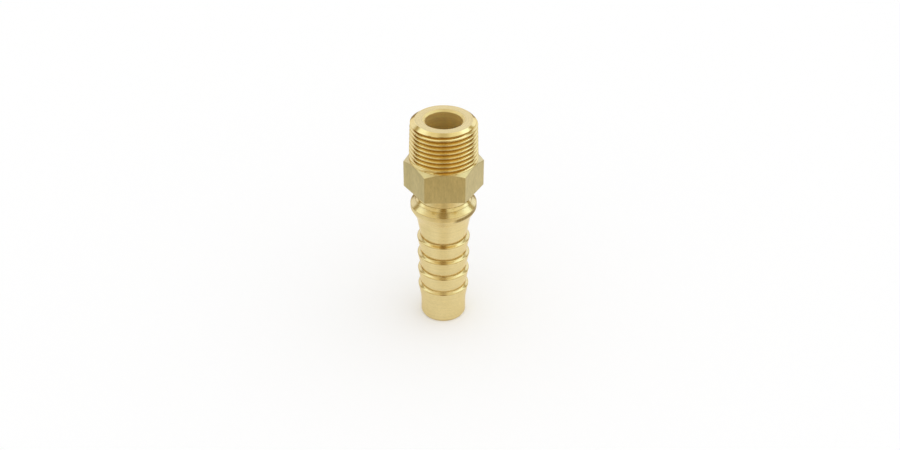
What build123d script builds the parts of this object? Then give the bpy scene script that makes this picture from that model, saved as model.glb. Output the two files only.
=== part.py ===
from build123d import *
import math
import os

# Brass hose tail: male taper thread, spanner hexagon, clamp collar and barbed tail.
# One solid, turned and bored from hexagon bar. The origin is the centre of the tail's
# end face, and +Z runs up the bore towards the thread. Millimetres and degrees.

# Bore, plain from end to end.
BORE_DIAMETER = 14.5
BORE_MOUTH_CHAMFER = 0.85  # at the thread end, 45 degrees
BORE_TAIL_CHAMFER = 0.4  # at the tail end, 45 degrees

# Tail tip: the smooth end that enters the hose first.
TIP_DIAMETER = 18.2
TIP_LENGTH = 7.9  # end face to the start of the last barb's taper
TIP_CHAMFER_HEIGHT = 1.0
TIP_CHAMFER_WIDTH = 0.55

# Barbs: each has a steep shoulder that faces the hexagon and a long taper towards the tip.
BARB_COUNT = 4
BARB_PITCH = 7.63
BARB_TAPER_LENGTH = 6.33  # lowest crest's sharp corner down to the tip cylinder
BARB_CREST_DIAMETER_TOP = 21.25  # sharp corner nearest the collar
BARB_CREST_DIAMETER_TIP = 20.65  # sharp corner nearest the tip
BARB_CREST_CHAMFER = 0.35  # breaks every crest's sharp corner, along both its sides
BARB_ROOT_DIAMETER = 18.2
BARB_SHOULDER_HEIGHT = 0.55

# Shank: the cone between the top barb and the collar.
SHANK_FOOT_DIAMETER = 18.3
SHANK_HEAD_DIAMETER = 21.35
SHANK_LENGTH = 8.95

# Collar: the ring that a two-piece clamp hooks over.
COLLAR_DIAMETER = 26.1
COLLAR_RIM_HEIGHT = 1.9
COLLAR_UNDERCUT_HEIGHT = 4.3  # cone from the shank out to the rim
COLLAR_TOP_HEIGHT = 1.65  # cone from the rim in to the step
STEP_DIAMETER = 22.2
STEP_HEIGHT = 0.15  # thin vertical edge between the two upper cones
STEP_CONE_HEIGHT = 0.95  # cone from the step in to the neck

# Neck: the plain groove under the hexagon.
NECK_DIAMETER = 20.3
NECK_LENGTH = 4.65

# Hexagon, with two flats square to the Y axis and two corners on the X axis.
HEX_SIDES = 6
HEX_ACROSS_FLATS = 27.0
HEX_HEIGHT = 12.5
HEX_CHAMFER_ANGLE = 30.0
HEX_FACE_DIAMETER = 26.0  # circle where the corner chamfer would meet the top plane

# Male taper pipe thread, right-handed. Its crests lie on a cone that widens downwards.
THREADS_PER_INCH = 14
THREAD_TAPER = 1 / 16  # growth of the diameter per length
THREAD_END_DIAMETER = 25.85  # crest cone at the end face
THREAD_FOOT_DIAMETER = 26.6  # plain band between the hexagon and the lowest groove
THREAD_FOOT_HEIGHT = 0.3
THREAD_LENGTH = 16.65  # hexagon's top plane to the end face
THREAD_CHAMFER_HEIGHT = 1.4
THREAD_CHAMFER_WIDTH = 1.8
THREAD_DEPTH_SHARE = 0.6403  # of the pitch
THREAD_ROOT_SHARE = 0.14  # of the pitch, width of the groove's flat bottom
THREAD_FLANK_ANGLE = 27.5  # each flank, from square to the axis
THREAD_CUTTER_REACH = 0.3  # how far the cutter stands out of the crests
THREAD_START_ANGLE = -90.0  # where the groove starts, seen from above
THREAD_START_RISE = 0.55  # middle of the groove above the hexagon's top plane at that start

# Heights above the tail's end face, worked out from the lengths above.
Z_LOWEST_CREST = TIP_LENGTH + BARB_TAPER_LENGTH
Z_TOP_CREST = Z_LOWEST_CREST + (BARB_COUNT - 1) * BARB_PITCH
Z_SHANK_FOOT = Z_TOP_CREST + BARB_SHOULDER_HEIGHT
Z_SHANK_HEAD = Z_SHANK_FOOT + SHANK_LENGTH
Z_RIM_BOTTOM = Z_SHANK_HEAD + COLLAR_UNDERCUT_HEIGHT
Z_RIM_TOP = Z_RIM_BOTTOM + COLLAR_RIM_HEIGHT
Z_STEP_BOTTOM = Z_RIM_TOP + COLLAR_TOP_HEIGHT
Z_STEP_TOP = Z_STEP_BOTTOM + STEP_HEIGHT
Z_NECK_BOTTOM = Z_STEP_TOP + STEP_CONE_HEIGHT
Z_HEX_BOTTOM = Z_NECK_BOTTOM + NECK_LENGTH
Z_HEX_TOP = Z_HEX_BOTTOM + HEX_HEIGHT
Z_THREAD_END = Z_HEX_TOP + THREAD_LENGTH

# Thread sizes worked out from its pitch.
THREAD_PITCH = 25.4 / THREADS_PER_INCH
THREAD_DEPTH = THREAD_DEPTH_SHARE * THREAD_PITCH


def turned_solid(points, broken_corners=(), break_length=0.0):
    """Spin a half-profile of (diameter, height) points about the Z axis into a solid.

    The points that are in broken_corners too are cut back by break_length along both their sides.
    """
    outline = [(0.0, points[0][1])]
    outline += [(diameter / 2, height) for diameter, height in points]
    outline += [(0.0, points[-1][1])]
    with BuildPart() as turned:
        with BuildSketch(Plane.XZ) as section:
            with BuildLine():
                Polyline(*outline, close=True)
            make_face()
            for diameter, height in broken_corners:
                corner = Vector(diameter / 2, height)
                chamfer(section.vertices().sort_by_distance(corner)[0], length=break_length)
        revolve(axis=Axis.Z)
    return turned.part


def crest_point(level):
    """Return the sharp crest of barb number level, counted up from the tip."""
    share = level / max(BARB_COUNT - 1, 1)
    diameter = BARB_CREST_DIAMETER_TIP + share * (BARB_CREST_DIAMETER_TOP - BARB_CREST_DIAMETER_TIP)
    return diameter, Z_LOWEST_CREST + level * BARB_PITCH


def shoulder_foot(level):
    """Return the foot of the shoulder above barb number level."""
    is_top = level == BARB_COUNT - 1
    diameter = SHANK_FOOT_DIAMETER if is_top else BARB_ROOT_DIAMETER
    return diameter, crest_point(level)[1] + BARB_SHOULDER_HEIGHT


def tail():
    """Turn the part below the hexagon: tip, barbs, shank, collar and neck."""
    tip = [
        (TIP_DIAMETER - 2 * TIP_CHAMFER_WIDTH, 0.0),
        (TIP_DIAMETER, TIP_CHAMFER_HEIGHT),
        (TIP_DIAMETER, TIP_LENGTH),
    ]
    crests = [crest_point(level) for level in range(BARB_COUNT)]
    feet = [shoulder_foot(level) for level in range(BARB_COUNT)]
    barbs = [point for pair in zip(crests, feet) for point in pair]
    collar = [
        (SHANK_HEAD_DIAMETER, Z_SHANK_HEAD),
        (COLLAR_DIAMETER, Z_RIM_BOTTOM),
        (COLLAR_DIAMETER, Z_RIM_TOP),
        (STEP_DIAMETER, Z_STEP_BOTTOM),
        (STEP_DIAMETER, Z_STEP_TOP),
        (NECK_DIAMETER, Z_NECK_BOTTOM),
        (NECK_DIAMETER, Z_HEX_BOTTOM),
    ]
    return turned_solid(tip + barbs + collar, crests, BARB_CREST_CHAMFER)


def hexagon():
    """Cut the spanner hexagon, with its top corners chamfered by a cone."""
    corner_diameter = HEX_ACROSS_FLATS / math.cos(math.pi / HEX_SIDES)
    chamfer_width = (corner_diameter - HEX_FACE_DIAMETER) / 2
    chamfer_drop = chamfer_width * math.tan(math.radians(HEX_CHAMFER_ANGLE))
    with BuildPart() as bar:
        with BuildSketch(Plane.XY.offset(Z_HEX_BOTTOM)):
            RegularPolygon(radius=corner_diameter / 2, side_count=HEX_SIDES)
        extrude(amount=HEX_HEIGHT)
    cone = turned_solid([
        (corner_diameter, Z_HEX_BOTTOM),
        (corner_diameter, Z_HEX_TOP - chamfer_drop),
        (HEX_FACE_DIAMETER, Z_HEX_TOP),
    ])
    return bar.part & cone


def thread_diameter(height):
    """Return the diameter of the thread's crest cone at a height."""
    return THREAD_END_DIAMETER + (Z_THREAD_END - height) * THREAD_TAPER


def thread_blank():
    """Turn the tapered blank of the thread, with the plain band at its foot and its end chamfer."""
    z_band = Z_HEX_TOP + THREAD_FOOT_HEIGHT
    z_chamfer = Z_THREAD_END - THREAD_CHAMFER_HEIGHT
    z_cone = z_band + abs(thread_diameter(z_band) - THREAD_FOOT_DIAMETER) / 2  # 45 degrees
    end_face = thread_diameter(z_chamfer) - 2 * THREAD_CHAMFER_WIDTH
    return turned_solid([
        (THREAD_FOOT_DIAMETER, Z_HEX_BOTTOM),
        (THREAD_FOOT_DIAMETER, z_band),
        (thread_diameter(z_cone), z_cone),
        (thread_diameter(z_chamfer), z_chamfer),
        (end_face, Z_THREAD_END),
    ])


def groove_turn(z_start):
    """Sweep the cutter of one turn of the thread's groove, whose middle starts at a height."""
    reach = THREAD_DEPTH + THREAD_CUTTER_REACH
    half_bottom = THREAD_ROOT_SHARE * THREAD_PITCH / 2
    half_top = half_bottom + reach * math.tan(math.radians(THREAD_FLANK_ANGLE))
    path = Helix(
        pitch=THREAD_PITCH,
        height=THREAD_PITCH,
        radius=thread_diameter(z_start) / 2 - THREAD_DEPTH,
        cone_angle=-math.degrees(math.atan(THREAD_TAPER / 2)),
    )
    outwards = Vector((path @ 0).X, (path @ 0).Y, 0.0)
    with BuildSketch(Plane(origin=path @ 0, x_dir=outwards, z_dir=path % 0)) as section:
        with BuildLine():
            Polyline(
                (0.0, -half_bottom), (reach, -half_top), (reach, half_top), (0.0, half_bottom),
                close=True,
            )
        make_face()
    cutter = sweep(section.sketch, path=path, is_frenet=True)
    return Pos(0.0, 0.0, z_start) * Rot(0.0, 0.0, THREAD_START_ANGLE) * cutter


def thread():
    """Cut the groove into the blank, turn by turn, until it runs out of the end face."""
    solid = thread_blank()
    z_turn = Z_HEX_TOP + THREAD_START_RISE
    while z_turn < Z_THREAD_END + THREAD_PITCH / 2:
        solid -= groove_turn(z_turn)
        z_turn += THREAD_PITCH
    return solid


def bore():
    """Make the drill that clears the bore and breaks both of its mouths."""
    return turned_solid([
        (BORE_DIAMETER + 2 * BORE_TAIL_CHAMFER, 0.0),
        (BORE_DIAMETER, BORE_TAIL_CHAMFER),
        (BORE_DIAMETER, Z_THREAD_END - BORE_MOUTH_CHAMFER),
        (BORE_DIAMETER + 2 * BORE_MOUTH_CHAMFER, Z_THREAD_END),
    ])


hose_tail = tail() + hexagon() + thread() - bore()

os.makedirs("parts", exist_ok=True)
export_step(hose_tail, "parts/hose_tail.step")
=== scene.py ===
"""Dress the brass hose tail: cut thread, hexagon, collar and barbs as one fine mesh, with its studio."""

import logging
import math
from dataclasses import dataclass
from enum import Enum
from functools import reduce

import bmesh
import bpy
from mathutils import Euler, Matrix, Vector


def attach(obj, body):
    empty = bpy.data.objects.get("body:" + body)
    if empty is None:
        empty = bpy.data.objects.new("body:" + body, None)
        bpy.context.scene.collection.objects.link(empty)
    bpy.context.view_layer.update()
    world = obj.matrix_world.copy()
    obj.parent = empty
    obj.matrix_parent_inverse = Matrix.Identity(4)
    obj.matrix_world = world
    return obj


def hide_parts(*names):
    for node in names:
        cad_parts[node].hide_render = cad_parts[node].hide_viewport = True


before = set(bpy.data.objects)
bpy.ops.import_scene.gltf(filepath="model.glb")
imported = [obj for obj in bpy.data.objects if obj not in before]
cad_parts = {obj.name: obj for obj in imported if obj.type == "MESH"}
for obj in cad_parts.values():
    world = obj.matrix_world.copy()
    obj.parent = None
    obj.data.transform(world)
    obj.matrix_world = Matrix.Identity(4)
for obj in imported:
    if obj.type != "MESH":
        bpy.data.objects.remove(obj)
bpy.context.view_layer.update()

LOG = logging.getLogger("hose_tail")
MM = 0.001
NODE = "hose_tail"
BODY = "root"

AROUND = 192  # faces round the axis: a multiple of the hexagon's sides
ROUND_STEPS = 3  # faces along each rounding of a turned outline
SAME_PLACE = 0.004 * MM  # vertices nearer than this are one
RING_SLACK = 0.02 * MM  # how far a ring's vertices may be from the place looked at
SMOOTH_LIMIT = math.radians(33.0)  # sharper edges stay crisp

Colour = tuple[float, float, float]


class Finish(Enum):
    """The machined finishes, in the order of the mesh's material slots. The colours of the cut, drilled and
    bar finishes also hold painted light and shade.
    """

    TURNED = 0
    BAR = 1
    CUT = 2
    DRILLED = 3
    FACED = 4


class ShadeMark(Enum):
    """What darkens a surface in places, by the name of its shader group: painted shade in the thread's roots
    and a painted reflection of the fitting's shadow on the collar's rim.
    """

    ROOTS = "thread_roots"
    CHATTER = "rim_chatter"


# ---------------------------------------------------------------- meshes


@dataclass(frozen=True)
class Corner:
    """One corner of a turned outline, in millimetres, with the length that its rounding takes."""

    radius: float
    height: float
    round_by: float = 0.0


def absorb(whole: bmesh.types.BMesh, part: bmesh.types.BMesh, finish: Finish) -> None:
    """Give a part's faces their finish and move them into the whole.

    Args:
        whole: the mesh that takes the faces.
        part: the mesh that gives them, which is freed.
        finish: the finish of the faces.
    """
    for face in part.faces:
        face.material_index = finish.value
    carrier = bpy.data.meshes.new("carrier")
    part.to_mesh(carrier)
    part.free()
    whole.from_mesh(carrier)
    bpy.data.meshes.remove(carrier)


def draw_line(bm: bmesh.types.BMesh, points: list[tuple[float, float]]) -> list[bmesh.types.BMVert]:
    """Draw an open line in the XZ plane.

    Args:
        bm: the mesh that takes the line.
        points: the (radius, height) of each point in millimetres.

    Returns:
        The line's vertices, in order.
    """
    verts = [bm.verts.new((radius * MM, 0.0, height * MM)) for radius, height in points]
    for low, high in zip(verts[:-1], verts[1:]):
        bm.edges.new((low, high))
    return verts


def spin_outline(whole: bmesh.types.BMesh, corners: list[Corner], finish: Finish) -> None:
    """Round the corners of an open outline and spin it about the Z axis.

    Args:
        whole: the mesh that takes the new faces.
        corners: the outline, from one open end to the other.
        finish: the finish of the faces.
    """
    bm = bmesh.new()
    verts = draw_line(bm, [(c.radius, c.height) for c in corners])
    for vert, corner in zip(verts, corners):
        if corner.round_by > 0.0:
            bmesh.ops.bevel(
                bm, geom=[vert], offset=corner.round_by * MM, offset_type="OFFSET", segments=ROUND_STEPS,
                profile=0.5, affect="VERTICES", material=-1, clamp_overlap=True,
            )
    bmesh.ops.spin(
        bm, geom=bm.verts[:] + bm.edges[:], cent=(0, 0, 0), axis=(0, 0, 1), dvec=(0, 0, 0),
        angle=math.tau, space=Matrix.Identity(4), steps=AROUND, use_merge=True,
    )
    absorb(whole, bm, finish)


def open_ring(bm: bmesh.types.BMesh, height: float, radius: float) -> list[bmesh.types.BMEdge]:
    """Find the open edges of a ring.

    Args:
        bm: the mesh to search.
        height: the ring's height in millimetres.
        radius: the largest distance of its vertices from the axis, in millimetres.

    Returns:
        The edges with fewer than two faces whose ends lie at that height, within that radius.
    """

    def on_ring(vert: bmesh.types.BMVert) -> bool:
        """Return True for a vertex of the ring."""
        return abs(vert.co.z - height * MM) < RING_SLACK and vert.co.xy.length < radius * MM + RING_SLACK

    return [e for e in bm.edges if len(e.link_faces) < 2 and all(on_ring(v) for v in e.verts)]


@dataclass(frozen=True)
class ChatterAndShadow:
    """A dark hatched band on the collar's rim, in millimetres and radians: a painted reflection of the
    fitting's shadow, hatched like the mark of a shaking tool.
    """

    start: float = math.radians(-71.0)  # round the axis, seen from above
    end: float = math.radians(-14.0)
    end_fade: float = 0.10
    below: float = 0.9  # its reach under the rim's lower edge, where it starts
    above: float = 0.8
    edge_fade: float = 0.3
    rise: float = 1.3  # per radian: it climbs the rim
    hatch_phase: float = 110.0  # of the hatching's wave, per radian round the axis
    hatch_depth: float = 0.2  # of the hatching's wave, as a share of the mark


@dataclass
class TurnedTail:
    """The turned surfaces below the hexagon, the end faces and the bore, in millimetres."""

    bore_radius: float = 7.25
    mouth_chamfer: float = 0.85
    tail_chamfer: float = 0.4
    tip_radius: float = 9.1
    tip_length: float = 7.9
    tip_chamfer_height: float = 1.0
    tip_chamfer_width: float = 0.55
    barb_count: int = 4
    barb_pitch: float = 7.63
    barb_taper_length: float = 6.33
    crest_radius_top: float = 10.625
    crest_radius_tip: float = 10.325
    root_radius: float = 9.1
    crest_round: float = 0.45
    shoulder_height: float = 0.55
    shank_foot_radius: float = 9.15
    shank_head_radius: float = 10.675
    shank_length: float = 8.95
    collar_radius: float = 13.05
    rim_height: float = 1.9
    undercut_height: float = 4.3
    collar_top_height: float = 1.65
    step_radius: float = 11.1
    step_height: float = 0.15
    step_cone_height: float = 0.95
    neck_radius: float = 10.15
    neck_length: float = 4.65
    edge_round: float = 0.07
    rim_round: float = 0.16
    inner_round: float = 0.3
    undercut_round: float = 1.6
    tip_round: float = 2.2  # of the long blend from the last taper to the tip
    # painted reflection of the fitting's shadow low on the rim, hatched like tool chatter
    chatter_and_shadow: ChatterAndShadow = ChatterAndShadow()

    def heights(self) -> dict[str, float]:
        """Add up the heights above the tail's end face.

        Returns:
            The height of each named level, in millimetres.
        """
        lowest_crest = self.tip_length + self.barb_taper_length
        top_crest = lowest_crest + (self.barb_count - 1) * self.barb_pitch
        foot = top_crest + self.shoulder_height
        head = foot + self.shank_length
        rim_bottom = head + self.undercut_height
        rim_top = rim_bottom + self.rim_height
        step_bottom = rim_top + self.collar_top_height
        step_top = step_bottom + self.step_height
        neck_bottom = step_top + self.step_cone_height
        return {
            "lowest_crest": lowest_crest, "head": head, "rim_bottom": rim_bottom, "rim_top": rim_top,
            "step_bottom": step_bottom, "step_top": step_top, "neck_bottom": neck_bottom,
            "hexagon": neck_bottom + self.neck_length,
        }

    def barbs(self, lowest_crest: float) -> list[Corner]:
        """List the barbs' corners from the tip upwards.

        Args:
            lowest_crest: the height of the crest nearest the tip.

        Returns:
            Two corners for each barb: the rounded crest and the root above it.
        """
        corners = []
        for level in range(self.barb_count):
            share = level / max(self.barb_count - 1, 1)
            crest = self.crest_radius_tip + share * (self.crest_radius_top - self.crest_radius_tip)
            base = lowest_crest + level * self.barb_pitch
            top_barb = level == self.barb_count - 1
            root = self.shank_foot_radius if top_barb else self.root_radius
            corners += [
                Corner(crest, base, self.crest_round),
                Corner(root, base + self.shoulder_height, self.inner_round),
            ]
        return corners

    def build(self, bm: bmesh.types.BMesh, face_radius: float, face_height: float) -> None:
        """Spin the outline from the neck down to the tip, through the bore and out to the thread.

        Args:
            bm: the mesh that takes the faces.
            face_radius: the outer radius of the thread's end face.
            face_height: the height of the thread's end face.
        """
        level = self.heights()
        collar = [
            Corner(self.shank_head_radius, level["head"], self.undercut_round),
            Corner(self.collar_radius, level["rim_bottom"], self.rim_round),
            Corner(self.collar_radius, level["rim_top"], self.rim_round),
            Corner(self.step_radius, level["step_bottom"], self.edge_round),
            Corner(self.step_radius, level["step_top"], self.edge_round),
            Corner(self.neck_radius, level["neck_bottom"], self.inner_round),
            Corner(self.neck_radius, level["hexagon"]),
        ]
        outside = [
            Corner(self.tip_radius - self.tip_chamfer_width, 0.0, self.edge_round),
            Corner(self.tip_radius, self.tip_chamfer_height, self.rim_round),
            Corner(self.tip_radius, self.tip_length, self.tip_round),
        ] + self.barbs(level["lowest_crest"]) + collar
        tail_mouth = Corner(self.bore_radius + self.tail_chamfer, 0.0)
        spin_outline(bm, [tail_mouth] + outside, Finish.TURNED)
        mouth = self.bore_radius + self.mouth_chamfer
        spin_outline(bm, [Corner(mouth, face_height), Corner(face_radius, face_height)], Finish.TURNED)
        drilled = [
            tail_mouth, Corner(self.bore_radius, self.tail_chamfer, self.edge_round),
            Corner(self.bore_radius, face_height - self.mouth_chamfer, self.edge_round),
            Corner(mouth, face_height),
        ]
        spin_outline(bm, drilled, Finish.DRILLED)


@dataclass
class Hexagon:
    """The spanner hexagon with its coned upper corners, in millimetres and degrees."""

    across_flats: float = 27.0
    sides: int = 6
    height: float = 12.5
    chamfer_angle: float = 30.0
    face_radius: float = 13.0
    edge_round: float = 0.12
    edge_steps: int = 2  # faces along each broken edge
    edge_angle: float = 40.0  # edges that turn by more are broken

    def cone_height(self, top: float, radius: float) -> float:
        """Return the height of the corner cone at a radius, below the plane at top."""
        return top - (radius - self.face_radius) * math.tan(math.radians(self.chamfer_angle))

    def build(self, bm: bmesh.types.BMesh, bottom: float) -> None:
        """Raise the six flats and end them on the corner cone.

        Args:
            bm: the mesh that takes the faces.
            bottom: the height of the hexagon's underside.
        """
        top = bottom + self.height
        corner = self.across_flats / 2 / math.cos(math.pi / self.sides)
        turn = Matrix.Translation((0.0, 0.0, bottom * MM)) @ Matrix.Rotation(math.pi / 2, 4, "Z")
        ring = bmesh.ops.create_circle(bm, segments=self.sides, radius=corner * MM, matrix=turn)
        edges = list(dict.fromkeys(e for v in ring["verts"] for e in v.link_edges))
        cut = bmesh.ops.subdivide_edges(bm, edges=edges, cuts=AROUND // self.sides - 1)
        edges = [g for g in cut["geom"] if isinstance(g, bmesh.types.BMEdge)]
        raised = bmesh.ops.extrude_edge_only(bm, edges=edges)["geom"]
        for vert in (g for g in raised if isinstance(g, bmesh.types.BMVert)):
            vert.co.z = self.cone_height(top, vert.co.xy.length / MM) * MM
        for face in (g for g in raised if isinstance(g, bmesh.types.BMFace)):
            face.material_index = Finish.BAR.value

    def soften(self, bm: bmesh.types.BMesh) -> None:
        """Break the hexagon's edges: its corners, its underside's rim and its curved upper edges.

        Args:
            bm: the mesh of the whole fitting, closed and with the flats' finish set.
        """
        flats = [f for f in bm.faces if f.material_index == Finish.BAR.value]
        edges = dict.fromkeys(e for f in flats for e in f.edges if len(e.link_faces) == 2)
        sharp = [e for e in edges if e.calc_face_angle(0.0) > math.radians(self.edge_angle)]
        made = bmesh.ops.bevel(
            bm, geom=sharp, offset=self.edge_round * MM, offset_type="OFFSET",
            segments=self.edge_steps, profile=0.5, affect="EDGES", material=-1, clamp_overlap=True,
        )
        LOG.info("hexagon: %d edges broken, %d faces made", len(sharp), len(made["faces"]))


@dataclass
class PipeThread:
    """The right-handed taper pipe thread with rounded crests and roots, in millimetres and degrees."""

    end_radius: float = 12.925  # of the crests' cone at the end face
    taper: float = 1.0 / 32.0  # growth of the radius per length
    length: float = 16.65  # the hexagon's top plane to the end face
    foot_radius: float = 13.3  # of the plain band under the last groove
    foot_band: float = 0.3  # height of that band
    pitch: float = 25.4 / 14
    depth_share: float = 0.6403  # of the pitch
    round_share: float = 0.1373  # of the pitch, at crests and roots
    flank_angle: float = 27.5  # from square to the axis
    chamfer_height: float = 1.4
    chamfer_width: float = 1.8
    runout_end_angle: float = -132.0  # where the groove dies out, seen from above
    runout_end_rise: float = 0.51  # of the groove's end above the hexagon's cone
    runout_arc: float = 40.0  # over which the tool backs out
    spare_turns: int = 2  # swept under the groove's end, and trimmed away
    arc_steps: int = 4
    flank_steps: int = 3

    @property
    def face_radius(self) -> float:
        """Return the outer radius of the flat end face."""
        return self.end_radius + self.taper * self.chamfer_height - self.chamfer_width

    def groove_half(self) -> list[tuple[float, float]]:
        """Draw half a groove, from the root's middle up to the crest's middle.

        Returns:
            (depth, height) points: the depth under the crests and the height over the root's middle.
        """
        curve = self.round_share * self.pitch
        root_centre = self.depth_share * self.pitch - curve
        crest_centre = curve
        sweep = math.radians(90.0 - self.flank_angle)
        turns = [sweep * step / self.arc_steps for step in range(self.arc_steps + 1)]
        root = [(root_centre + curve * math.cos(t), curve * math.sin(t)) for t in turns]
        middle = self.pitch / 2
        crest = [(crest_centre - curve * math.cos(t), middle - curve * math.sin(t)) for t in turns]
        start, end = Vector(root[-1]), Vector(crest[-1])
        shares = [step / self.flank_steps for step in range(1, self.flank_steps)]
        flank = [tuple(start.lerp(end, share)) for share in shares]
        return root + flank + crest[::-1]

    def foot_radius_at(self, height: float, bottom: float) -> float:
        """Return the largest radius at a height: the plain band at the foot opens out at 45 degrees."""
        return self.foot_radius + max(height - bottom - self.foot_band, 0.0)

    def lift(self, groove_rise: float) -> float:
        """Work out how far the tool has backed out.

        Args:
            groove_rise: the groove's height above the place where it dies out.

        Returns:
            The tool's lift in millimetres, which leaves no groove at its end.
        """
        turned = groove_rise / self.pitch * 360.0
        share = min(max(turned / self.runout_arc, 0.0), 1.0)
        return self.depth_share * self.pitch * (1.0 - share)

    def build(self, whole: bmesh.types.BMesh, bottom: float, top: float) -> None:
        """Sweep one groove round and up, back it out at the foot and chamfer it at the top.

        Args:
            whole: the mesh that takes the faces.
            bottom: the height where the thread's cylinder leaves the hexagon's cone.
            top: the height of the thread's end face.
        """
        runout_end = bottom + self.runout_end_rise
        first = runout_end - self.pitch * (self.runout_end_angle / 360.0 + self.spare_turns)
        half = self.groove_half()
        outline = half + [(depth, self.pitch - rise) for depth, rise in half[-2::-1]]
        bm = bmesh.new()
        draw_line(bm, [(self.end_radius - depth, first + rise) for depth, rise in outline])
        bmesh.ops.spin(
            bm, geom=bm.verts[:] + bm.edges[:], cent=(0, 0, 0), axis=(0, 0, 1),
            dvec=(0, 0, self.pitch * MM / AROUND), angle=math.tau, space=Matrix.Identity(4), steps=AROUND,
        )
        one_turn = bm.verts[:] + bm.edges[:] + bm.faces[:]
        for turn in range(1, math.ceil((top - first) / self.pitch) + 1):
            copied = bmesh.ops.duplicate(bm, geom=one_turn)["geom"]
            verts = [g for g in copied if isinstance(g, bmesh.types.BMVert)]
            bmesh.ops.translate(bm, verts=verts, vec=(0.0, 0.0, turn * self.pitch * MM))
        for vert in bm.verts:
            self._trim(vert, first, runout_end, bottom, top)
        bmesh.ops.remove_doubles(bm, verts=bm.verts, dist=SAME_PLACE)
        bmesh.ops.dissolve_degenerate(bm, edges=bm.edges, dist=SAME_PLACE / 4)
        absorb(whole, bm, Finish.CUT)

    def _trim(self, vert: bmesh.types.BMVert, first: float, runout_end: float, bottom: float,
              top: float) -> None:
        """Keep a vertex of the thread between its ends, inside its chamfer and out of its run-out.

        Args:
            vert: the vertex, which is moved.
            first: the height of the lowest groove's middle on the +X side.
            runout_end: the height of the groove's middle where it dies out.
            bottom: the lowest height allowed.
            top: the highest height allowed.
        """
        turned = math.atan2(vert.co.y, vert.co.x) % math.tau / math.tau
        level = (vert.co.z / MM - first) / self.pitch - turned
        groove = first + self.pitch * (turned + round(level))
        height = min(max(vert.co.z / MM, bottom), top)
        crests = min(self.end_radius + self.taper * (top - height), self.foot_radius_at(height, bottom))
        depth = self.end_radius - vert.co.xy.length / MM - self.lift(groove - runout_end)
        chamfer = self.face_radius + (top - height) * self.chamfer_width / self.chamfer_height
        radius = min(crests - max(depth, 0.0), chamfer)
        spoke = vert.co.xy.normalized() * radius * MM
        vert.co = (spoke.x, spoke.y, height * MM)


@dataclass
class HoseTail:
    """The whole fitting: one closed mesh made of the tail, the hexagon and the thread."""

    tail: TurnedTail
    hexagon: Hexagon
    thread: PipeThread
    name: str = "hose_tail_machined"

    @property
    def top(self) -> float:
        """Return the height of the thread's end face in millimetres."""
        return self.tail.heights()["hexagon"] + self.hexagon.height + self.thread.length

    def build(self, materials: dict[Finish, bpy.types.Material]) -> bpy.types.Object:
        """Join the parts of the surface into one closed mesh.

        Args:
            materials: the material of each finish.

        Returns:
            The object, which rides on the root body and stands for the CAD node.
        """
        hex_bottom = self.tail.heights()["hexagon"]
        hex_top = hex_bottom + self.hexagon.height
        top = self.top
        seat = self.hexagon.cone_height(hex_top, self.thread.foot_radius)
        bm = bmesh.new()
        self.hexagon.build(bm, hex_bottom)
        self.thread.build(bm, seat, top)
        self.tail.build(bm, self.thread.face_radius, top)
        bmesh.ops.remove_doubles(bm, verts=bm.verts, dist=SAME_PLACE)
        self._bridge(bm, hex_bottom, seat)
        self.hexagon.soften(bm)
        bmesh.ops.recalc_face_normals(bm, faces=bm.faces)
        for edge in bm.edges:
            edge.smooth = edge.calc_face_angle(0.0) < SMOOTH_LIMIT
        loose = sum(not e.is_manifold for e in bm.edges)
        LOG.info("%s: %d faces, %d open edges", self.name, len(bm.faces), loose)
        mesh = bpy.data.meshes.new(self.name)
        bm.to_mesh(mesh)
        bm.free()
        mesh.polygons.foreach_set("use_smooth", [True] * len(mesh.polygons))
        for finish in Finish:
            mesh.materials.append(materials[finish])
        piece = bpy.data.objects.new(self.name, mesh)
        bpy.context.scene.collection.objects.link(piece)
        weighted = piece.modifiers.new("flat_flats", "WEIGHTED_NORMAL")
        weighted.keep_sharp = True
        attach(piece, BODY)
        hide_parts(NODE)
        return piece

    def _bridge(self, bm: bmesh.types.BMesh, hex_bottom: float, seat: float) -> None:
        """Close the hexagon's underside and its coned top.

        Args:
            bm: the mesh with the open rings.
            hex_bottom: the height of the hexagon's underside.
            seat: the height where the cone meets the thread's cylinder.
        """
        flats = [f for f in bm.faces if f.material_index == Finish.BAR.value]
        rims = [e for f in flats for e in f.edges if len(e.link_faces) == 1]
        lower = [e for e in rims if all(abs(v.co.z - hex_bottom * MM) < SAME_PLACE for v in e.verts)]
        upper = [e for e in rims if e not in lower]
        neck = open_ring(bm, hex_bottom, self.tail.neck_radius)
        foot = open_ring(bm, seat, self.thread.foot_radius)
        for ring, mate in ((lower, neck), (upper, foot)):
            made = bmesh.ops.bridge_loops(bm, edges=ring + mate)
            for face in made["faces"]:
                face.material_index = Finish.FACED.value


# ---------------------------------------------------------------- finishes


class Kind(Enum):
    """What a socket of a shader group carries, by Blender's name for it."""

    VALUE = "NodeSocketFloat"
    VECTOR = "NodeSocketVector"


@dataclass(frozen=True)
class Zone:
    """A stretch of values with soft edges. A side that is None has no edge."""

    low: float | None = None
    high: float | None = None
    soft: float = 0.0  # from the middle of an edge to each of its ends


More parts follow.
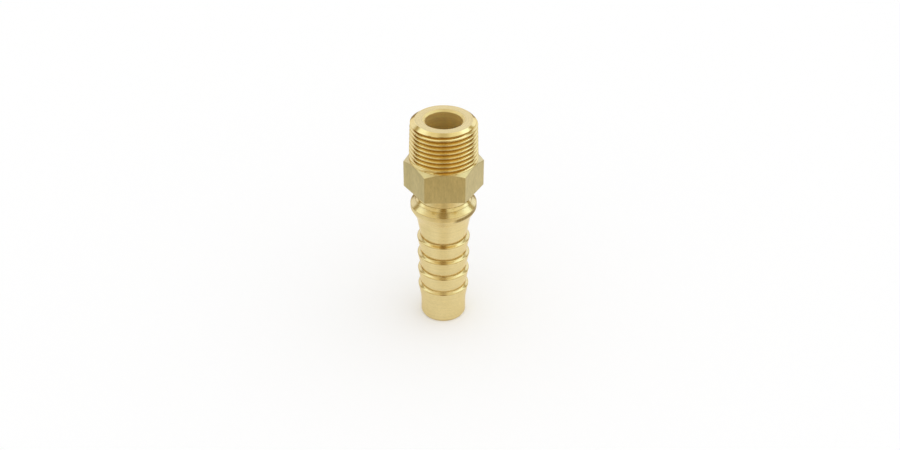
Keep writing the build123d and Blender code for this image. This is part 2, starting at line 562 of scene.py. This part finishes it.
class Wiring:
    """A node tree with short ways to add and link nodes."""

    def __init__(self, tree: bpy.types.NodeTree) -> None:
        """Wrap a tree."""
        self.tree = tree

    def add(self, kind: str, settings: dict | None = None, **inputs: object) -> bpy.types.Node:
        """Add a node.

        Args:
            kind: the node's type name.
            settings: attributes of the node.
            inputs: for each socket, by name or as in_0, in_1 and so on, a value or a socket to link.

        Returns:
            The node.
        """
        node = self.tree.nodes.new(kind)
        for name, value in (settings or {}).items():
            setattr(node, name, value)
        for name, value in inputs.items():
            key = int(name.removeprefix("in_")) if name.startswith("in_") else name.replace("_", " ")
            target = node.inputs[key]
            if isinstance(value, bpy.types.NodeSocket):
                self.link(value, target)
            else:
                target.default_value = value
        return node

    def link(self, source: bpy.types.NodeSocket, target: bpy.types.NodeSocket) -> None:
        """Link an output to an input."""
        self.tree.links.new(source, target)

    def maths(self, operation: str, first: object, second: object = 0.0,
              third: object = 0.0) -> bpy.types.NodeSocket:
        """Add a Math node and return its output."""
        node = self.add("ShaderNodeMath", {"operation": operation}, in_0=first, in_1=second, in_2=third)
        return node.outputs[0]

    def both(self, first: object, second: object) -> bpy.types.NodeSocket:
        """Multiply two values, such as two masks, and return the output."""
        return self.maths("MULTIPLY", first, second)

    def plane(self, first: object, slope: float, second: object, other: float) -> bpy.types.NodeSocket:
        """Add two values, each times its slope, and return the output."""
        return self.maths("MULTIPLY_ADD", first, slope, self.maths("MULTIPLY", second, other))

    def between(self, share: object, low: object, high: object) -> bpy.types.NodeSocket:
        """Mix two numbers by a share and return the output."""
        node = self.add("ShaderNodeMix", {"data_type": "FLOAT"}, in_0=share, in_2=low, in_3=high)
        return node.outputs[0]

    def blend(self, share: object, low: object, high: object, mode: str = "MIX") -> bpy.types.NodeSocket:
        """Mix two colours.

        Args:
            share: how much of the second colour is taken, from 0 to 1.
            low: the first colour.
            high: the second colour.
            mode: how the second acts on the first.

        Returns:
            The mixed colour.
        """
        settings = {"data_type": "RGBA", "blend_type": mode}
        node = self.add("ShaderNodeMix", settings, in_0=share, in_6=low, in_7=high)
        return node.outputs[2]

    def cover(self, mask: object, below: object, colour: Colour) -> bpy.types.NodeSocket:
        """Put a colour over another where the mask is 1 and return the output."""
        return self.blend(mask, below, (*colour, 1.0))

    def tint(self, mask: object, below: object, colour: Colour) -> bpy.types.NodeSocket:
        """Multiply a colour by another where the mask is 1 and return the output."""
        return self.blend(mask, below, (*colour, 1.0), "MULTIPLY")

    def ramp(self, value: object, start: float, end: float, falls: bool = False) -> bpy.types.NodeSocket:
        """Rise, or fall, smoothly between 0 and 1.

        Args:
            value: what the ramp follows.
            start: where it starts.
            end: where it ends, above start.
            falls: True to go from 1 to 0.

        Returns:
            The output.
        """
        node = self.add("ShaderNodeMapRange", {"interpolation_type": "SMOOTHSTEP"}, in_0=value, in_1=start,
                        in_2=end, in_3=float(falls), in_4=float(not falls))
        return node.outputs[0]

    def mask(self, value: object, zone: Zone) -> bpy.types.NodeSocket:
        """Tell where a value lies in a zone.

        Args:
            value: the value.
            zone: the zone, with one edge or two.

        Returns:
            1 in the zone and 0 outside.
        """
        sides = [
            self.ramp(value, edge - zone.soft, edge + zone.soft, falls)
            for edge, falls in ((zone.low, False), (zone.high, True)) if edge is not None
        ]
        return self.both(*sides) if len(sides) > 1 else sides[0]

    def noise(self, vector: object, scale: object, detail: float, rough: float) -> bpy.types.NodeSocket:
        """Add a Noise texture and return its value."""
        settings = {"Vector": vector, "Scale": scale, "Detail": detail, "Roughness": rough}
        return self.add("ShaderNodeTexNoise", None, **settings).outputs[0]

    def split(self, vector: object) -> list[bpy.types.NodeSocket]:
        """Return a vector's x, y and z."""
        return self.add("ShaderNodeSeparateXYZ", None, in_0=vector).outputs[:3]

    def flat(self, x: object, y: object) -> bpy.types.NodeSocket:
        """Return the vector of x, y and no z."""
        return self.add("ShaderNodeCombineXYZ", None, in_0=x, in_1=y).outputs[0]

    def length(self, vector: object) -> bpy.types.NodeSocket:
        """Return a vector's length."""
        return self.add("ShaderNodeVectorMath", {"operation": "LENGTH"}, in_0=vector).outputs["Value"]


def new_group(name: str, takes: dict[str, Kind], gives: tuple[str, ...]) -> tuple[Wiring, dict, dict]:
    """Make an empty shader node group.

    Args:
        name: the group's name.
        takes: each input and its kind.
        gives: each output, which carries a value.

    Returns:
        The wiring, the inner sockets of the inputs and the inner sockets of the outputs.
    """
    tree = bpy.data.node_groups.new(name, "ShaderNodeTree")
    for label, kind in takes.items():
        tree.interface.new_socket(name=label, in_out="INPUT", socket_type=kind.value)
    for label in gives:
        tree.interface.new_socket(name=label, in_out="OUTPUT", socket_type=Kind.VALUE.value)
    wiring = Wiring(tree)
    source = wiring.add("NodeGroupInput")
    target = wiring.add("NodeGroupOutput")
    return wiring, {n: source.outputs[n] for n in takes}, {n: target.inputs[n] for n in gives}


def ring_marks_group(waver_scale: float = 1.7, coarse_share: float = 0.35) -> bpy.types.NodeTree:
    """Build the group for the rings that a turning tool leaves: they follow radius and height.

    Args:
        waver_scale: how often the rings stray from level in going round.
        coarse_share: how much of the relief the coarse rings make.

    Returns:
        The group, which gives a Height and a Tone from 0 to 1.
    """
    takes = {"Vector": Kind.VECTOR, "Fine": Kind.VALUE, "Coarse": Kind.VALUE, "Waver": Kind.VALUE}
    wiring, given, wanted = new_group("ring_marks", takes, ("Height", "Tone"))
    x, y, z = wiring.split(given["Vector"])
    out = wiring.flat(x, y)
    spoke = wiring.add("ShaderNodeVectorMath", {"operation": "NORMALIZE"}, in_0=out).outputs[0]
    waver = wiring.noise(spoke, waver_scale, detail=2.0, rough=0.5)
    along = wiring.maths("ADD", z, wiring.maths("MULTIPLY", waver, given["Waver"]))
    place = wiring.flat(wiring.length(out), along)
    fine = wiring.noise(place, given["Fine"], detail=3.0, rough=0.6)
    coarse = wiring.noise(place, given["Coarse"], detail=2.0, rough=0.5)
    wiring.link(wiring.between(coarse_share, fine, coarse), wanted["Height"])
    wiring.link(coarse, wanted["Tone"])
    return wiring.tree


def mottle_group() -> bpy.types.NodeTree:
    """Build the group for uneven colour: broad clouds of tarnish and fine grain.

    Returns:
        The group, which gives Cloud and Grain masks from 0 to 1.
    """
    takes = {"Vector": Kind.VECTOR, "Cloud Scale": Kind.VALUE, "Grain Scale": Kind.VALUE}
    wiring, given, wanted = new_group("mottle", takes, ("Cloud", "Grain"))
    cloud = wiring.noise(given["Vector"], given["Cloud Scale"], detail=3.0, rough=0.55)
    grain = wiring.noise(given["Vector"], given["Grain Scale"], detail=4.0, rough=0.7)
    wiring.link(cloud, wanted["Cloud"])
    wiring.link(grain, wanted["Grain"])
    return wiring.tree


def thread_root_shade_group(thread: PipeThread, top: float, unshaded: float = 0.15) -> bpy.types.NodeTree:
    """Build the group for the painted shade in the thread's roots, which deepens with the groove's depth.

    Args:
        thread: the thread, whose crests' cone and chamfer are the surfaces to measure from.
        top: the height of the thread's end face in millimetres.
        unshaded: the share of the groove's depth, from the crests, that the painted shade leaves alone.

    Returns:
        The group, which gives a Mask from 0 at the crests to 1 at the roots.
    """
    wiring, given, wanted = new_group(ShadeMark.ROOTS.value, {"Vector": Kind.VECTOR}, ("Mask",))
    x, y, z = wiring.split(given["Vector"])
    radius = wiring.length(wiring.flat(x, y))
    crest_at_zero = (thread.end_radius + thread.taper * top) * MM
    crest = wiring.maths("MULTIPLY_ADD", z, -thread.taper, crest_at_zero)
    steep = thread.chamfer_width / thread.chamfer_height
    chamfer = wiring.maths("MULTIPLY_ADD", z, -steep, (thread.face_radius + steep * top) * MM)
    depth = wiring.maths("SUBTRACT", wiring.maths("MINIMUM", crest, chamfer), radius)
    full = thread.depth_share * thread.pitch * MM
    wiring.link(wiring.ramp(depth, unshaded * full, full), wanted["Mask"])
    return wiring.tree


def rim_shadow_chatter_group(tail: TurnedTail) -> bpy.types.NodeTree:
    """Build the group for the dark hatched band low on the collar's rim: a painted reflection of the
    fitting's shadow, hatched like the mark of a shaking tool.

    Args:
        tail: the tail, for the mark and the height of the rim.

    Returns:
        The group, which gives a Mask from 0 to 1.
    """
    mark = tail.chatter_and_shadow
    wiring, given, wanted = new_group(ShadeMark.CHATTER.value, {"Vector": Kind.VECTOR}, ("Mask",))
    x, y, z = wiring.split(given["Vector"])
    angle = wiring.maths("ARCTAN2", y, x)
    around = wiring.mask(angle, Zone(mark.start, mark.end, mark.end_fade))
    climb = wiring.maths("MULTIPLY_ADD", angle, -mark.rise * MM, z)
    base = tail.heights()["rim_bottom"] - mark.rise * mark.start
    level = wiring.mask(climb, Zone((base - mark.below) * MM, (base + mark.above) * MM, mark.edge_fade * MM))
    wave = wiring.maths("SINE", wiring.maths("MULTIPLY", angle, mark.hatch_phase))
    hatch = wiring.maths("MULTIPLY_ADD", wave, mark.hatch_depth, 1.0 - mark.hatch_depth)
    wiring.link(wiring.both(wiring.both(around, level), hatch), wanted["Mask"])
    return wiring.tree


@dataclass(frozen=True)
class BrassFinish:
    """A machined brass surface: its colours, its gloss and the depth of its marks. Some colours are lightened
    or darkened as painted light and shade.
    """

    name: str
    colour: Colour
    tarnish: Colour
    roughness: float
    roughness_spread: float
    ring_depth: float  # millimetres
    grain_depth: float  # millimetres
    stretch: float = 0.0  # anisotropy, along the axis
    stretch_turn: float = 0.25  # of the anisotropy, as a share of a full turn
    fine_per_mm: float = 9.0
    coarse_per_mm: float = 1.1
    waver: float = 0.04  # millimetres
    cloud_per_mm: float = 0.16
    grain_per_mm: float = 1.6
    along: float = 1.0  # how fast clouds and grain change along the axis, against across it
    speckle: float = 0.16  # how far the grain changes the tone
    ring_tone: float = 0.16  # how far the turning marks change the tone
    edge_tint: Colour = (1.0, 1.0, 1.0)  # of what is mirrored at a grazing angle
    # painted shade marks, each times the colour
    shade_marks: tuple[tuple[ShadeMark, Colour], ...] = ()  # each times the colour

    def make(self, rings: bpy.types.NodeTree, mottle: bpy.types.NodeTree,
             masks: dict[ShadeMark, bpy.types.NodeTree]) -> bpy.types.Material:
        """Build the material from the shared groups.

        Args:
            rings: the group of turning marks.
            mottle: the group of uneven colour.
            masks: the group of each painted shade mark.

        Returns:
            The material.
        """
        material = bpy.data.materials.new(self.name)
        material.use_nodes = True
        material.node_tree.nodes.clear()
        wiring = Wiring(material.node_tree)
        place = wiring.add("ShaderNodeTexCoord").outputs["Object"]
        marks = wiring.add("ShaderNodeGroup", {"node_tree": rings}, Vector=place,
                           Fine=self.fine_per_mm / MM, Coarse=self.coarse_per_mm / MM,
                           Waver=self.waver * MM)
        drawn = wiring.add("ShaderNodeVectorMath", {"operation": "MULTIPLY"}, in_0=place,
                           in_1=(1.0, 1.0, self.along))
        uneven = wiring.add("ShaderNodeGroup", {"node_tree": mottle}, Vector=drawn.outputs[0],
                            Cloud_Scale=self.cloud_per_mm / MM, Grain_Scale=self.grain_per_mm / MM)
        cloud, grain = uneven.outputs["Cloud"], uneven.outputs["Grain"]
        colour = wiring.blend(cloud, (*self.colour, 1.0), (*self.tarnish, 1.0))
        darkest = 1.0 - (self.ring_tone + self.speckle) / 2
        tone = wiring.maths("MULTIPLY_ADD", marks.outputs["Tone"], self.ring_tone, darkest)
        tone = wiring.maths("MULTIPLY_ADD", grain, self.speckle, tone)
        shade = wiring.add("ShaderNodeCombineColor", None, in_0=tone, in_1=tone, in_2=tone)
        colour = wiring.blend(1.0, colour, shade.outputs[0], "MULTIPLY")
        # painted shade: each mark darkens the colour where its mask is 1
        for shade_mark, shade_mark_colour in self.shade_marks:
            mask = wiring.add("ShaderNodeGroup", {"node_tree": masks[shade_mark]}, Vector=place).outputs["Mask"]
            colour = wiring.tint(mask, colour, shade_mark_colour)
        rough = wiring.maths("MULTIPLY_ADD", cloud, self.roughness_spread, self.roughness)
        rough = wiring.maths("MULTIPLY_ADD", grain, self.roughness_spread / 2, rough)
        ring_bump = wiring.add("ShaderNodeBump", None, Strength=1.0, Distance=self.ring_depth * MM,
                               Height=marks.outputs["Height"])
        grain_bump = wiring.add("ShaderNodeBump", None, Strength=1.0, Distance=self.grain_depth * MM,
                                Height=grain, Normal=ring_bump.outputs[0])
        tangent = wiring.add("ShaderNodeTangent", {"direction_type": "RADIAL", "axis": "Z"})
        shader = wiring.add("ShaderNodeBsdfPrincipled", None, Base_Color=colour, Metallic=1.0,
                            Roughness=rough, Normal=grain_bump.outputs[0], Anisotropic=self.stretch,
                            Anisotropic_Rotation=self.stretch_turn, Tangent=tangent.outputs[0],
                            Specular_Tint=(*self.edge_tint, 1.0))
        wiring.add("ShaderNodeOutputMaterial", None, Surface=shader.outputs[0])
        return material


def finishes(fitting: HoseTail) -> dict[Finish, bpy.types.Material]:
    """Make the material of each finish.

    Args:
        fitting: the fitting, for the places of the painted shade marks.

    Returns:
        The materials.
    """
    rings, mottle = ring_marks_group(), mottle_group()
    masks = {
        ShadeMark.ROOTS: thread_root_shade_group(fitting.thread, fitting.top),
        ShadeMark.CHATTER: rim_shadow_chatter_group(fitting.tail),
    }
    made = {
        Finish.TURNED: BrassFinish(
            "turned_brass", colour=(0.90, 0.74, 0.37), tarnish=(0.82, 0.65, 0.30),
            roughness=0.15, roughness_spread=0.07, ring_depth=0.012, grain_depth=0.0015, stretch=0.5,
            ring_tone=0.24, speckle=0.40, edge_tint=(1.0, 0.93, 0.80),
            # painted reflection of the fitting's shadow, hatched like tool chatter, low on the collar's rim
            shade_marks=((ShadeMark.CHATTER, (0.24, 0.17, 0.05)),),
        ),
        # painted shade: the flats' colour is darker than the turned brass; the drawn surface is also rougher
        Finish.BAR: BrassFinish(
            "drawn_bar_brass_painted_shade", colour=(0.735, 0.615, 0.308), tarnish=(0.615, 0.515, 0.247),
            roughness=0.34, roughness_spread=0.14, ring_depth=0.0, grain_depth=0.008,
            grain_per_mm=1.3, along=0.30, ring_tone=0.0, speckle=0.62,
        ),
        # painted light: the thread's colour is lighter than the turned brass, to brighten the thread
        Finish.CUT: BrassFinish(
            "cut_thread_brass_painted_light", colour=(0.98, 0.81, 0.39), tarnish=(0.92, 0.74, 0.34),
            roughness=0.13, roughness_spread=0.06, ring_depth=0.002, grain_depth=0.002,
            # painted shade in the thread's roots, darker with the groove's depth
            speckle=0.24, edge_tint=(1.0, 0.86, 0.62), shade_marks=((ShadeMark.ROOTS, (0.68, 0.55, 0.34)),),
        ),
        Finish.FACED: BrassFinish(
            "faced_brass", colour=(0.80, 0.66, 0.32), tarnish=(0.72, 0.57, 0.26),
            roughness=0.24, roughness_spread=0.08, ring_depth=0.010, grain_depth=0.0015,
            ring_tone=0.24, speckle=0.50,
        ),
        # painted light: the bore's colour is lighter than the other brass, to light the deep bore
        Finish.DRILLED: BrassFinish(
            "drilled_brass_painted_light", colour=(1.0, 0.83, 0.43), tarnish=(0.98, 0.80, 0.40),
            roughness=0.52, roughness_spread=0.08, ring_depth=0.030, grain_depth=0.003,
            ring_tone=0.50, speckle=0.30,
        ),
    }
    return {finish: brass.make(rings, mottle, masks) for finish, brass in made.items()}


# ---------------------------------------------------------------- studio


@dataclass(frozen=True)
class Patch:
    """A part of the floor that the brass mirrors in another colour, with its limits in metres."""

    tint: Colour  # times the mirrored floor
    across: Zone | None = None  # along X
    along: Zone | None = None  # along Y
    away: Zone | None = None  # from the fitting's axis


@dataclass(frozen=True)
class PaperFloor:
    """The pale paper that the fitting stands on, in metres."""

    size: float = 6.0
    cells: int = 8
    colour: Colour = (0.95, 0.945, 0.93)
    roughness: float = 0.9
    shine: float = 0.1
    glow: float = 0.07  # seen by the camera alone
    mirrored: Colour = (0.93, 0.94, 0.95)  # what the brass mirrors instead of the floor's colour
    front_mirrored: Colour = (0.70, 0.59, 0.38)
    behind_front: Zone = Zone(low=-0.075, soft=0.045)  # where the front's colour ends
    patches: tuple[Patch, ...] = (
        Patch((0.89, 0.89, 0.86), across=Zone(high=-0.04, soft=0.02)),  # on the left
        Patch((0.38, 0.30, 0.18), away=Zone(low=0.25, soft=0.05)),  # far off, past the paper's edge
        Patch((0.78, 0.74, 0.64), along=Zone(low=0.08, soft=0.02)),  # behind
        # in front of the fitting's middle
        Patch((0.90, 0.87, 0.80), across=Zone(-0.018, 0.015, 0.012), along=Zone(high=-0.022, soft=0.010)),
        # further in front, where the neck mirrors it: painted shade, darkening the neck as the hexagon over
        # it would
        Patch((0.45, 0.55, 0.85), across=Zone(-0.024, 0.030, 0.010), along=Zone(-0.103, -0.092, 0.006)),
    )

    def mirror_image(self, wiring: Wiring) -> bpy.types.NodeSocket:
        """Add the nodes for the floor as the brass mirrors it.

        Args:
            wiring: the material's wiring.

        Returns:
            The colour.
        """
        place = wiring.add("ShaderNodeTexCoord").outputs["Object"]
        across, along, _ = wiring.split(place)
        away = wiring.length(place)
        back = wiring.mask(along, self.behind_front)
        colour = wiring.cover(back, (*self.front_mirrored, 1.0), self.mirrored)
        for patch in self.patches:
            limits = ((across, patch.across), (along, patch.along), (away, patch.away))
            masks = [wiring.mask(value, zone) for value, zone in limits if zone is not None]
            colour = wiring.tint(reduce(wiring.both, masks), colour, patch.tint)
        return colour

    def build(self) -> None:
        """Lay the floor."""
        bm = bmesh.new()
        bmesh.ops.create_grid(bm, x_segments=self.cells, y_segments=self.cells, size=self.size / 2)
        mesh = bpy.data.meshes.new("floor")
        bm.to_mesh(mesh)
        bm.free()
        material = bpy.data.materials.new("floor_paper")
        material.use_nodes = True
        material.node_tree.nodes.clear()
        wiring = Wiring(material.node_tree)
        seen = wiring.add("ShaderNodeLightPath").outputs
        colour = wiring.blend(seen["Is Glossy Ray"], (*self.colour, 1.0), self.mirror_image(wiring))
        glow = wiring.maths("MULTIPLY", seen["Is Camera Ray"], self.glow)
        shader = wiring.add("ShaderNodeBsdfPrincipled", None, Base_Color=colour, Roughness=self.roughness,
                            Specular_IOR_Level=self.shine, Emission_Color=(1.0, 1.0, 1.0, 1.0),
                            Emission_Strength=glow)
        wiring.add("ShaderNodeOutputMaterial", None, Surface=shader.outputs[0])
        mesh.materials.append(material)
        floor = bpy.data.objects.new("floor", mesh)
        bpy.context.scene.collection.objects.link(floor)


@dataclass(frozen=True)
class LightTent:
    """The light round the fitting, by direction: cloths that the brass mirrors, and plain light for the rest.

    The zones are limits on a direction's x, y or z, which go from -1 to 1.
    """

    side_cloth: Colour = (1.08, 1.18, 1.24)
    front_cloth: Colour = (0.78, 0.73, 0.59)
    front: Zone = Zone(high=0.01, soft=0.11)  # in y
    rear_cloth: Colour = (0.87, 0.90, 1.04)
    rear_rise: float = 0.32  # how far the rear cloth's edge moves back with z
    rear_spread: float = 0.60  # and with x, to either side
    past_rear_edge: Zone = Zone(high=0.0, soft=0.06)
    gap_colour: Colour = (0.38, 0.30, 0.15)  # between the side cloths and the rear cloth
    side_rise: float = 0.30  # how far the side cloths' edges move back with z
    side_spread: float = 0.26  # and with x, to either side
    past_edge: Zone = Zone(low=0.0, soft=0.05)
    right_gain: Colour = (1.10, 1.16, 1.22)  # times what is on the right
    right: Zone = Zone(low=0.25, soft=0.25)  # in x
    opening_colour: Colour = (0.27, 0.18, 0.06)  # in the front cloth
    opening_width: Zone = Zone(-0.23, 0.17, 0.08)  # in x
    opening_front: Zone = Zone(high=-0.28, soft=0.14)  # in y
    hem_colour: Colour = (0.42, 0.32, 0.16)  # at the cloths' lower edge
    hem_height: Zone = Zone(high=0.17, soft=0.11)  # in z
    hem_front: Zone = Zone(high=0.55, soft=0.20)  # in y
    plain_light: Colour = (1.16, 1.165, 1.18)  # for the floor, from the front right
    plain_shade: Colour = (0.80, 0.805, 0.82)  # for the floor, from the rear left
    plain_slope: float = 0.5  # how fast one gives way to the other, in x and against y
    plain_turn: Zone = Zone(low=0.0, soft=0.6)

    def cloths(self, wiring: Wiring, direction: bpy.types.NodeSocket) -> bpy.types.NodeSocket:
        """Add the nodes for the tent as the brass mirrors it.

        Args:
            wiring: the world's wiring.
            direction: the direction looked in.

        Returns:
            The colour.
        """
        x, y, z = wiring.split(direction)
        aside = wiring.maths("ABSOLUTE", x)
        past_side = wiring.maths("SUBTRACT", y, wiring.plane(z, self.side_rise, aside, self.side_spread))
        before_rear = wiring.maths("SUBTRACT", wiring.plane(z, self.rear_rise, aside, self.rear_spread), y)
        cloth = wiring.cover(wiring.mask(y, self.front), (*self.side_cloth, 1.0), self.front_cloth)
        cloth = wiring.cover(wiring.mask(before_rear, self.past_rear_edge), cloth, self.rear_cloth)
        gap = wiring.both(wiring.mask(past_side, self.past_edge), wiring.mask(before_rear, self.past_edge))
        cloth = wiring.cover(gap, cloth, self.gap_colour)
        cloth = wiring.tint(wiring.mask(x, self.right), cloth, self.right_gain)
        opening = wiring.both(wiring.mask(x, self.opening_width), wiring.mask(y, self.opening_front))
        cloth = wiring.cover(opening, cloth, self.opening_colour)
        hem = wiring.both(wiring.mask(z, self.hem_height), wiring.mask(y, self.hem_front))
        return wiring.cover(hem, cloth, self.hem_colour)

    def plain(self, wiring: Wiring, direction: bpy.types.NodeSocket) -> bpy.types.NodeSocket:
        """Add the nodes for the plain light.

        Args:
            wiring: the world's wiring.
            direction: the direction looked in.

        Returns:
            The colour.
        """
        x, y, _ = wiring.split(direction)
        towards = wiring.plane(x, self.plain_slope, y, -self.plain_slope)
        return wiring.cover(wiring.mask(towards, self.plain_turn), (*self.plain_shade, 1.0), self.plain_light)

    def build(self) -> None:
        """Put the tent in the world."""
        world = bpy.data.worlds.new("light_tent")
        bpy.context.scene.world = world
        world.use_nodes = True
        world.node_tree.nodes.clear()
        wiring = Wiring(world.node_tree)
        direction = wiring.add("ShaderNodeTexCoord").outputs["Generated"]
        mirrored = wiring.add("ShaderNodeLightPath").outputs["Is Glossy Ray"]
        colour = wiring.blend(mirrored, self.plain(wiring, direction), self.cloths(wiring, direction))
        backdrop = wiring.add("ShaderNodeBackground", None, Color=colour, Strength=1.0)
        wiring.add("ShaderNodeOutputWorld", None, Surface=backdrop.outputs[0])


@dataclass(frozen=True)
class Viewpoint:
    """The camera's place, aim and lens, in millimetres and degrees."""

    place: tuple[float, float, float] = (-14.46, -404.93, 307.82)
    pitch: float = 33.308  # below the horizon
    yaw: float = -2.41
    roll: float = 0.34
    lens: float = 48.67
    sensor: float = 36.0
    nearest: float = 10.0  # the least distance that it sees

    def build(self) -> None:
        """Set up the camera."""
        data = bpy.data.cameras.new("camera")
        data.lens = self.lens
        data.sensor_width = self.sensor
        data.sensor_fit = "HORIZONTAL"
        data.clip_start = self.nearest * MM
        camera = bpy.data.objects.new("camera", data)
        aim = Euler((math.radians(90.0 - self.pitch), 0.0, math.radians(self.yaw)))
        roll = Matrix.Rotation(math.radians(self.roll), 4, "Z")
        camera.matrix_world = Matrix.Translation(Vector(self.place) * MM) @ aim.to_matrix().to_4x4() @ roll
        bpy.context.scene.collection.objects.link(camera)
        bpy.context.scene.camera = camera


@dataclass(frozen=True)
class Studio:
    """What is round the fitting: the floor, the light and the camera."""

    floor: PaperFloor = PaperFloor()
    tent: LightTent = LightTent()
    viewpoint: Viewpoint = Viewpoint()

    def build(self) -> None:
        """Set up the whole studio."""
        self.floor.build()
        self.tent.build()
        self.viewpoint.build()
        bpy.context.scene.view_settings.view_transform = "Standard"


def main() -> None:
    """Build the fitting and its studio in order."""
    logging.basicConfig(level=logging.INFO, format="%(name)s: %(message)s")
    fitting = HoseTail(TurnedTail(), Hexagon(), PipeThread())
    piece = fitting.build(finishes(fitting))
    LOG.info("%s stands for %s", piece.name, NODE)
    Studio().build()


if __name__ == "__main__":
    main()
